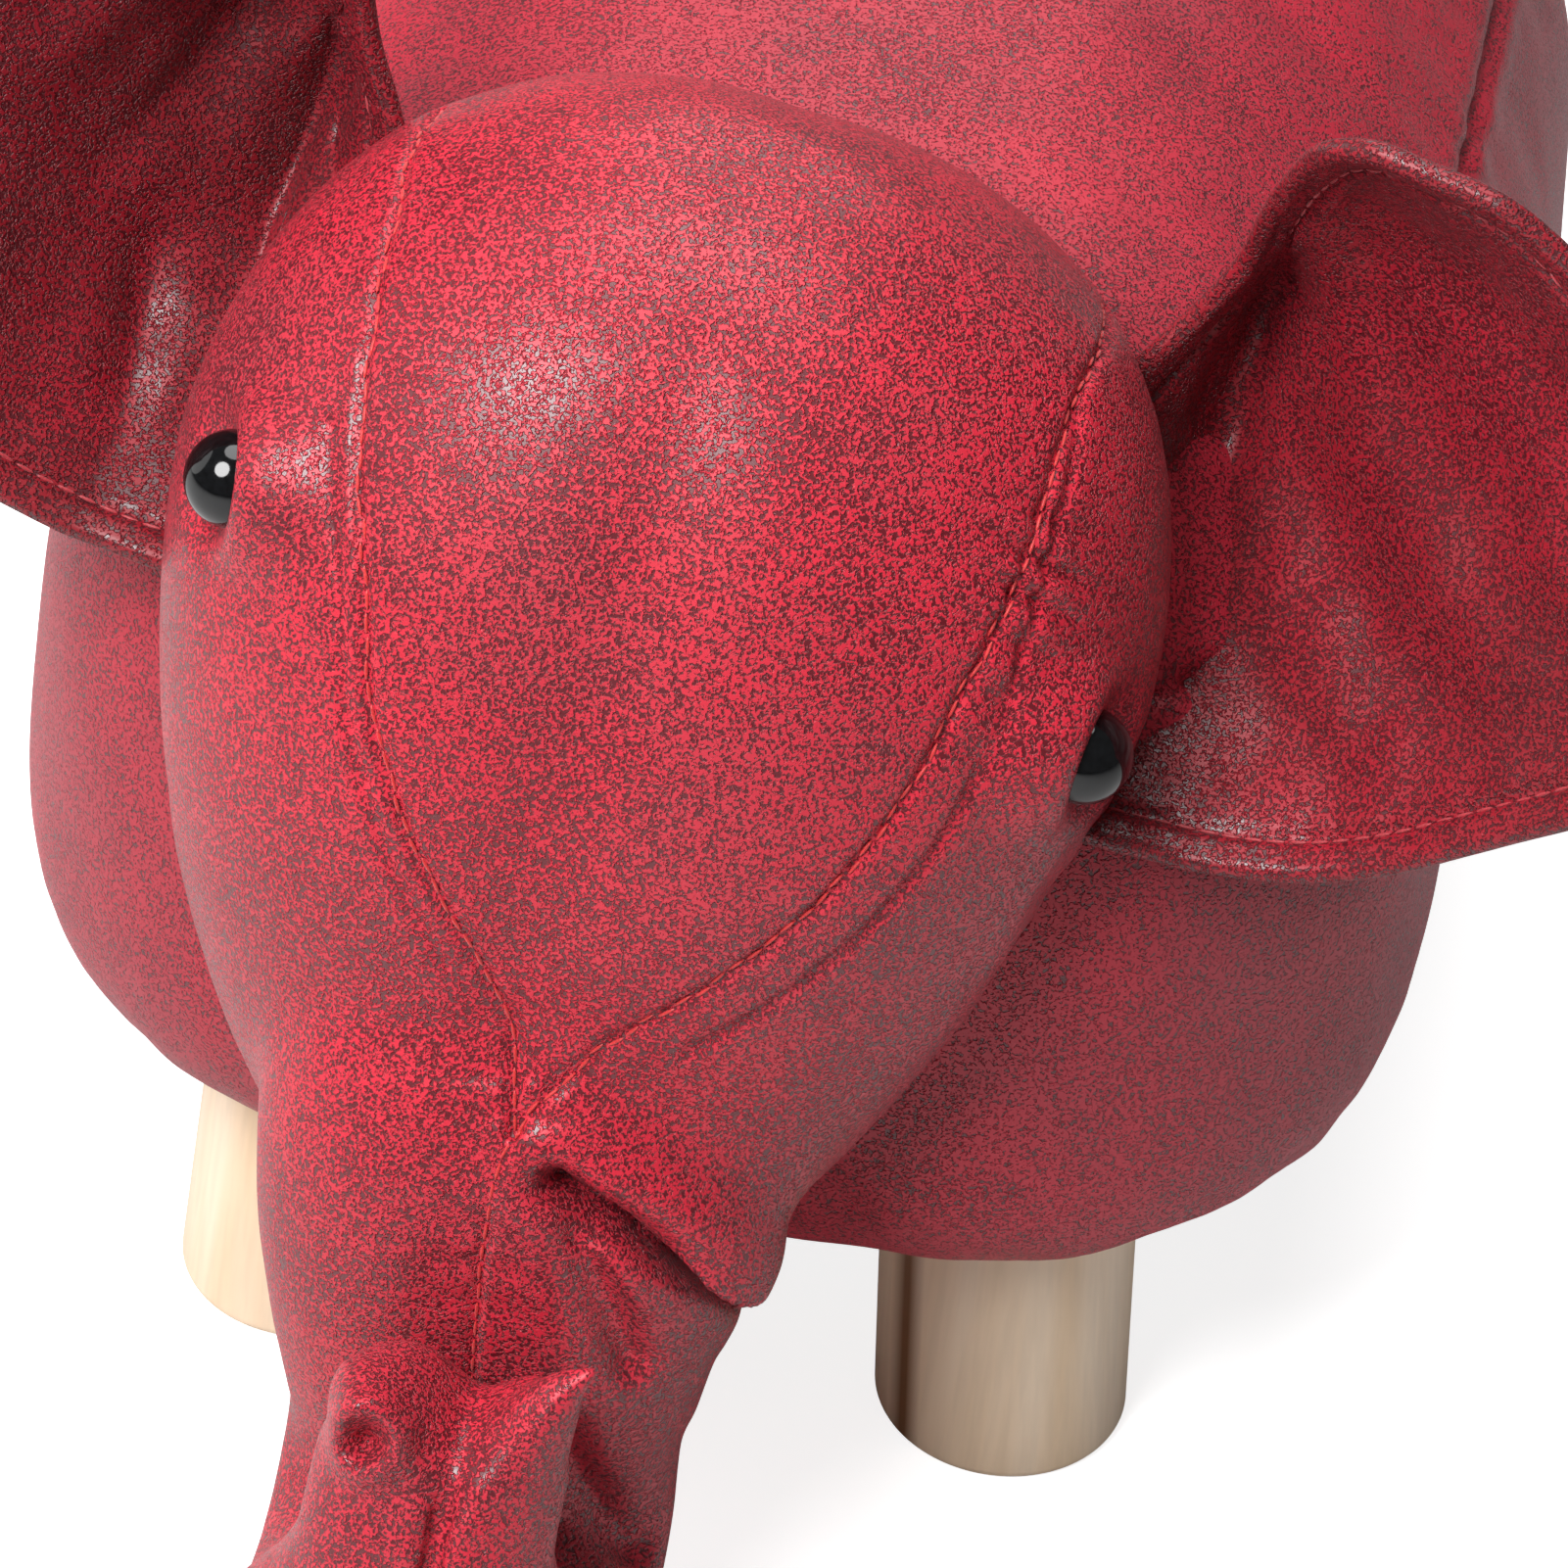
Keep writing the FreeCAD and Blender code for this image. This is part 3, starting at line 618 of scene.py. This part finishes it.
stitch_row = stitch_tree()


def stitches(name, path, thread):
    """A row of stitches along a path, as one plain mesh."""
    mesh = bpy.data.meshes.new(name)
    mesh.from_pydata([tuple(place) for place in path], [(i, i + 1) for i in range(len(path) - 1)], [])
    piece = bpy.data.objects.new(name, mesh)
    bpy.context.scene.collection.objects.link(piece)
    row = piece.modifiers.new("stitches", "NODES")
    row.node_group = stitch_row
    sockets = stitch_row.interface.items_tree
    named = {item.name: item.identifier for item in sockets if item.in_out == "INPUT"}
    row[named["Pitch"]] = STITCH_PITCH
    row[named["Length"]] = STITCH_LENGTH
    row[named["Thickness"]] = THREAD_THICKNESS
    row[named["Thread"]] = thread
    return baked(piece)


bright_thread = thread_material("bright_red_thread", "#B2181D", "#D62A2A")
ear_thread = thread_material("dark_red_thread", "#8E1C26", "#B4303A")
skin = BVHTree.FromObject(head, bpy.context.evaluated_depsgraph_get())
for word, path in (("left_brow", BROW_LEFT), ("right_brow", BROW_RIGHT), ("trunk_front", TRUNK_FRONT)):
    line = []
    for place in path[::3]:
        found, normal, _, _ = skin.find_nearest(place)
        line.append(found + 0.0001 * normal)
    thread = stitches(word + "_thread", line, bright_thread)
    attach(thread, "stool")


# Eyes. Domed black plastic eyes, moulded in one with a shank and polished. Each is pushed through its
# cheek and held by a washer on the shank inside.
black, tree, shader, place = new_material("black_gloss_plastic")
dust = add(tree, "ShaderNodeTexNoise", {"Vector": place, "Scale": 900.0, "Detail": 3.0})
tree.links.new(ramp(tree, dust.outputs[0], [(0.3, "#060607"), (0.8, "#101113")]), shader.inputs["Base Color"])
tree.links.new(ramp(tree, dust.outputs[0], [(0.3, 0.05), (0.8, 0.12)]), shader.inputs["Roughness"])
dress(("left_eye", "right_eye"), black)
for name in ("left_eye", "right_eye"):
    nodes[name].data.polygons.foreach_set("use_smooth", [True] * len(nodes[name].data.polygons))


# Ears. Two layers of the same faux suede sewn face to face round the edge, turned and top-stitched
# 8 mm in. Each is gathered into the head seam along its root, so it cups forward in soft folds.
# Rows are distances out from the middle of the head in millimetres, each with the places forward and
# up of its low, middle and high point.
EAR_ROWS = [
    (66, (80, 211), (46, 238), (27, 259)), (72, (82, 206), (38, 240), (23, 267)),
    (84, (84, 201), (18, 246), (20, 290)), (87, (84, 200), (13, 250), (31, 317)),
    (92, (84, 200), (9, 255), (41, 334)), (103, (83, 200), (12, 261), (46, 340)),
    (122, (84, 204), (27, 267), (50, 341)), (138, (86, 213), (42, 271), (53, 336)),
    (160, (90, 234), (63, 277), (63, 321)), (180, (96, 258), (79, 282), (76, 304)),
    (187, (97, 270), (88, 282), (85, 293))]
EAR_HEM, EAR_EDGE, EAR_MIDDLE = 8.0, 2.3, 1.9
EAR_OUT, EAR_UP = 150, 130
EAR_LENGTH = 120.0
# Each fold runs from one place to another, given as out and share of the way up, with width and height.
EAR_FOLDS = {
    "left": [((84, 0.94), (118, 0.50), 7.0, 3.2), ((118, 0.50), (150, 0.30), 9.0, 3.0),
             ((90, 0.72), (92, 0.30), 8.0, -5.0), ((104, 0.86), (150, 0.74), 9.0, -2.6),
             ((150, 0.62), (172, 0.34), 8.0, 2.2), ((100, 0.34), (134, 0.16), 8.0, 1.8)],
    "right": [((80, 0.95), (104, 0.42), 4.5, 4.2), ((82, 0.80), (94, 0.34), 3.5, -3.4),
              ((88, 0.84), (122, 0.36), 4.5, -3.0), ((92, 0.92), (136, 0.50), 6.0, 3.4),
              ((84, 0.52), (90, 0.18), 3.2, 2.6), ((108, 0.94), (160, 0.66), 9.0, -2.6),
              ((106, 0.10), (112, 0.30), 5.0, -3.2)]}


def soft_line(keys, values, spots):
    """Values at the spots on a smooth line through the keys that never overshoots them."""
    keys, values = np.array(keys, float), np.array(values, float)
    rate = np.diff(values) / np.diff(keys)
    both = rate[1:] * rate[:-1]
    inner = np.where(both > 0, 2 * both / (rate[1:] + rate[:-1] + 1e-12), 0.0)
    slope = np.r_[rate[0], inner, rate[-1]]
    step = np.clip(np.searchsorted(keys, spots) - 1, 0, len(keys) - 2)
    width = keys[step + 1] - keys[step]
    s = (spots - keys[step]) / width
    a, b = values[step], values[step + 1]
    return (a * (1 + 2 * s) * (1 - s) ** 2 + slope[step] * width * s * (1 - s) ** 2
            + b * s * s * (3 - 2 * s) + slope[step + 1] * width * s * s * (s - 1))


def ear_sheet(sign, rise):
    """The ear's middle surface in head millimetres, out along the first axis and up along the second."""
    keys = [row[0] for row in EAR_ROWS]

    def line(point, axis, spots):
        return soft_line(keys, [row[point][axis] for row in EAR_ROWS], spots)

    many = np.linspace(keys[0], keys[-1], 2000)
    rows = [[many, line(point, 0, many), line(point, 1, many)] for point in (1, 3)]
    walk = sum(np.linalg.norm(np.diff(np.array(row), axis=1), axis=0) for row in rows)
    walk = np.r_[0.0, np.cumsum(walk)]
    out = np.interp(np.linspace(0.0, walk[-1], EAR_OUT), walk, many)
    crowd = 0.85 + 0.15 * np.linspace(-1, 1, EAR_UP) ** 2
    up = 0.5 - 0.5 * np.cos(math.pi * np.linspace(0.0, 1.0, EAR_UP)) * crowd
    low, mid, high = [[line(point, axis, out)[:, None] for axis in (0, 1)] for point in (1, 2, 3)]
    low[1] = low[1] + rise
    sheet = np.empty((EAR_OUT, EAR_UP, 3))
    sheet[..., 0] = sign * out[:, None]
    for axis, flip in ((0, 1), (1, 2)):
        sheet[..., flip] = (low[axis] * (1 - up) * (1 - 2 * up) + 4 * mid[axis] * up * (1 - up)
                            + high[axis] * up * (2 * up - 1))
    return sheet, out, up


def facing(sheet, sign):
    """The sheet's normals, towards the ear's front."""
    normal = np.cross(np.gradient(sheet, axis=0), np.gradient(sheet, axis=1)) * -sign
    return normal / np.linalg.norm(normal, axis=2, keepdims=True)


# The ears are the head's faux suede, but their reds are drawn darker: painted shade, standing for the shade
# that falls in their cups and behind the head.
ear_suede_painted_shade = suede("red_suede_ears_painted_shade", "#9A1728", "#80101C", "#A86C78", cover=0.475, wear=0.05, rough=0.42)
for side, sign, rise in (("left", 1.0, 2.0), ("right", -1.0, -3.0)):
    sheet, out, up = ear_sheet(sign, rise)
    normal = facing(sheet, sign)
    border = np.concatenate([sheet[:, -1], sheet[-1, ::-1], sheet[::-1, 0]])
    edge = near_path(sheet.reshape(-1, 3), dense(border, 0.2, 0))[0].reshape(EAR_OUT, EAR_UP)
    edge[:, 0] = edge[:, -1] = edge[-1, :] = 0.0

    # The middle surface is folded, and a layer lies on each side of it, drawn together along the hem.
    bend = np.zeros((EAR_OUT, EAR_UP))
    for (x0, v0), (x1, v1), width, height in EAR_FOLDS[side]:
        px, pv = out[:, None] - x0, (up[None, :] - v0) * EAR_LENGTH
        dx, dv = x1 - x0, (v1 - v0) * EAR_LENGTH
        along = np.clip((px * dx + pv * dv) / (dx * dx + dv * dv), 0.0, 1.0)
        off = np.hypot(px - along * dx, pv - along * dv)
        fade = np.sin(math.pi * np.clip(0.12 + 0.8 * along, 0, 1)) ** 0.7
        bend += height * np.exp(-(off / width) ** 2) * fade
    flat = sheet.reshape(-1, 3)
    slack = 1.5 * swell(flat, 26.0, 21 + sign) + 0.7 * swell(flat, 11.0, 23 + sign)
    bend += slack.reshape(bend.shape)
    bend *= np.clip(edge / 10.0, 0.25, 1.0)
    sheet = sheet + bend[..., None] * normal
    normal = facing(sheet, sign)
    turn = np.clip(edge / 2.6, 0.0, 1.0)
    full = EAR_EDGE * np.sqrt(turn * (2.0 - turn))
    inner = EAR_MIDDLE + (EAR_EDGE - EAR_MIDDLE) * np.exp(-np.clip(edge - EAR_HEM, 0, 99) / 4.0)
    half = np.where(edge < EAR_HEM, full, inner) - 1.25 * np.exp(-((edge - EAR_HEM) / 1.3) ** 2)
    gather = 0.35 * swell(flat, 3.4, 31).reshape(bend.shape) * np.exp(-((edge - EAR_HEM) / 4.5) ** 2)
    half = np.maximum(half + gather * np.clip(edge / 2.0, 0, 1), 0.0)
    faces = [sheet + half[..., None] * normal, sheet - half[..., None] * normal]
    world = [[on_head(*place) for place in layer.reshape(-1, 3)] for layer in faces]

    # Both layers share the points of the sewn edge, and a strip closes the root.
    count = EAR_OUT * EAR_UP
    index = np.arange(count).reshape(EAR_OUT, EAR_UP)
    other = np.where(edge == 0.0, index, index + count)
    quads = []
    for layer, turned in ((index, sign < 0), (other, sign > 0)):
        block = np.stack([layer[:-1, :-1], layer[1:, :-1], layer[1:, 1:], layer[:-1, 1:]], axis=-1)
        block = block.reshape(-1, 4)
        quads += (block[:, ::-1] if turned else block).tolist()
    root = np.stack([index[0, :-1], index[0, 1:], other[0, 1:], other[0, :-1]], axis=-1)
    quads += (root[:, ::-1] if sign < 0 else root).tolist()
    mesh = bpy.data.meshes.new(side + "_ear_cover")
    mesh.from_pydata(world[0] + world[1], [], [[v for i, v in enumerate(q) if v not in q[:i]] for q in quads])
    ear = bpy.data.objects.new(side + "_ear_cover", mesh)
    bpy.context.scene.collection.objects.link(ear)

    # Each layer has its own row of top-stitching along the hem.
    at_hem = np.abs(edge - EAR_HEM) < 0.9
    for layer, word in zip(faces, ("front", "back")):
        rows = layer[at_hem]
        finder = KDTree(len(rows))
        for number, row in enumerate(rows):
            finder.insert(row, number)
        finder.balance()
        line = dense([finder.find(place)[0] for place in border[::6]], 0.8, 60)
        line = np.array([on_head(*place) for place in line])
        thread = stitches("_".join((side, "ear", word, "thread")), line, ear_thread)
        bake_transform(thread)

    # Points that no face uses go, and the faces are turned outwards.
    shape = bmesh.new()
    shape.from_mesh(mesh)
    bmesh.ops.delete(shape, geom=[v for v in shape.verts if not v.link_faces], context="VERTS")
    bmesh.ops.recalc_face_normals(shape, faces=shape.faces)
    shape.to_mesh(mesh)
    shape.free()
    mesh.polygons.foreach_set("use_smooth", [True] * len(mesh.polygons))
    mesh.materials.append(ear_suede_painted_shade)
    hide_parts(side + "_ear_front", side + "_ear_back")
    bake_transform(ear)


# Dust cover. Thin black non-woven cloth, cut to the base board's rounded outline and pulled flat
# under it, inside the cover's hem. It slackens a little between the places where it is fixed.
DUST_CORNER, DUST_THICKNESS, DUST_SLACK = 0.060, 0.0003, 0.00025
low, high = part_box("dust_cover")
middle, half = (low + high) / 2.0, (high - low) / 2.0
across, along = 81, 125
corners = []
for row in range(along):
    y = half.y * (2.0 * row / (along - 1) - 1.0)
    past = max(0.0, abs(y) - (half.y - DUST_CORNER))
    reach = half.x - DUST_CORNER + math.sqrt(max(0.0, DUST_CORNER ** 2 - past ** 2))
    for step in range(across):
        corners.append((middle.x + reach * (2.0 * step / (across - 1) - 1.0), middle.y + y, 0.0))
corners = np.array(corners)
corners[:, 2] = high.z - DUST_THICKNESS - DUST_SLACK * (0.5 + 0.5 * swell(corners, 0.035, 21))
rows = np.arange((along - 1) * across).reshape(along - 1, across)[:, :-1].ravel()
mesh = bpy.data.meshes.new("dust_cover_cloth")
quads = [(k, k + across, k + across + 1, k + 1) for k in rows.tolist()]
mesh.from_pydata([tuple(place) for place in corners], [], quads)
dust_sheet = bpy.data.objects.new("dust_cover_cloth", mesh)
bpy.context.scene.collection.objects.link(dust_sheet)
thicken = dust_sheet.modifiers.new("cloth", "SOLIDIFY")
thicken.thickness = DUST_THICKNESS
thicken.offset = 1.0
baked(dust_sheet)
dust_sheet.data.materials.append(plain("black_non_woven", "#141416", "#1E1E21", 1500.0, 0.9))
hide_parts("dust_cover")
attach(dust_sheet, "stool")


# Studio. A pale floor that stays white to the camera but keeps the shadow, and four soft lights: the key
# high in front and to the animal's right, a weaker one at that side, one overhead and one behind.
floor_mesh = bpy.data.meshes.new("floor")
floor_mesh.from_pydata([(-6, -6, 0), (6, -6, 0), (6, 6, 0), (-6, 6, 0)], [], [(0, 1, 2, 3)])
floor = bpy.data.objects.new("floor", floor_mesh)
bpy.context.scene.collection.objects.link(floor)
white, tree, shader, place = new_material("white_floor")
shader.inputs["Base Color"].default_value = (0.72, 0.72, 0.72, 1.0)
shader.inputs["Roughness"].default_value = 0.9
glow = add(tree, "ShaderNodeLightPath").outputs["Is Camera Ray"]
tree.links.new(maths(tree, "MULTIPLY", glow, 0.82), shader.inputs["Emission Strength"])
shader.inputs["Emission Color"].default_value = (1.0, 1.0, 1.0, 1.0)
floor.data.materials.append(white)
floor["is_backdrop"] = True

world = bpy.data.worlds.new("studio")
world.use_nodes = True
sky = world.node_tree
rays = add(sky, "ShaderNodeLightPath").outputs
seen = maths(sky, "ADD", 0.06, maths(sky, "MULTIPLY", rays["Is Glossy Ray"], 0.06))
seen = maths(sky, "ADD", seen, rays["Is Camera Ray"])
sky.links.new(seen, sky.nodes["Background"].inputs[1])
sky.nodes["Background"].inputs[0].default_value = (1.0, 1.0, 1.0, 1.0)
bpy.context.scene.world = world


def softbox(name, stand, size, power, aim):
    lamp = bpy.data.lights.new(name, "AREA")
    lamp.shape = "DISK"
    lamp.size = size
    lamp.energy = power
    made = bpy.data.objects.new(name, lamp)
    made.location = stand
    made.rotation_euler = (Vector(aim) - Vector(stand)).to_track_quat("-Z", "Y").to_euler()
    bpy.context.scene.collection.objects.link(made)
    made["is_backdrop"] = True


softbox("side", (-1.5, 0.2, 0.7), 1.4, 7.0, (0, -0.05, 0.17))
softbox("key", (-0.55, -0.95, 1.42), 0.9, 36.0, (0, -0.1, 0.2))
softbox("top", (-0.1, 0.2, 1.7), 1.1, 15.0, (0, 0, 0.2))
softbox("back", (-0.2, 1.5, 1.35), 1.2, 9.0, (0, 0, 0.2))


# Camera. Stands where the photo was taken from, about 1.5 m off, looking down and a little rolled.
turn, rise, roll, away, lens = math.radians(8.1), math.radians(40.0), math.radians(5.4), 1.495, 152.0
target = under_legs + Vector((-0.0062, 0.0091, 0.0118))
back = Vector((math.sin(turn) * math.cos(rise), -math.cos(turn) * math.cos(rise), math.sin(rise)))
across = Vector((math.cos(turn), math.sin(turn), 0.0))
upward = back.cross(across)
right = across * math.cos(roll) + upward * math.sin(roll)
up = upward * math.cos(roll) - across * math.sin(roll)
lens_data = bpy.data.cameras.new("camera")
lens_data.lens = lens
lens_data.sensor_width = 36.0
lens_data.clip_start, lens_data.clip_end = 0.05, 30.0
camera = bpy.data.objects.new("camera", lens_data)
turned = Matrix((right, up, back)).transposed().to_4x4()
camera.matrix_world = Matrix.Translation(target + back * away) @ turned
bpy.context.scene.collection.objects.link(camera)
bpy.context.scene.camera = camera
bpy.context.scene.view_settings.view_transform = "Standard"

low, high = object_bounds()
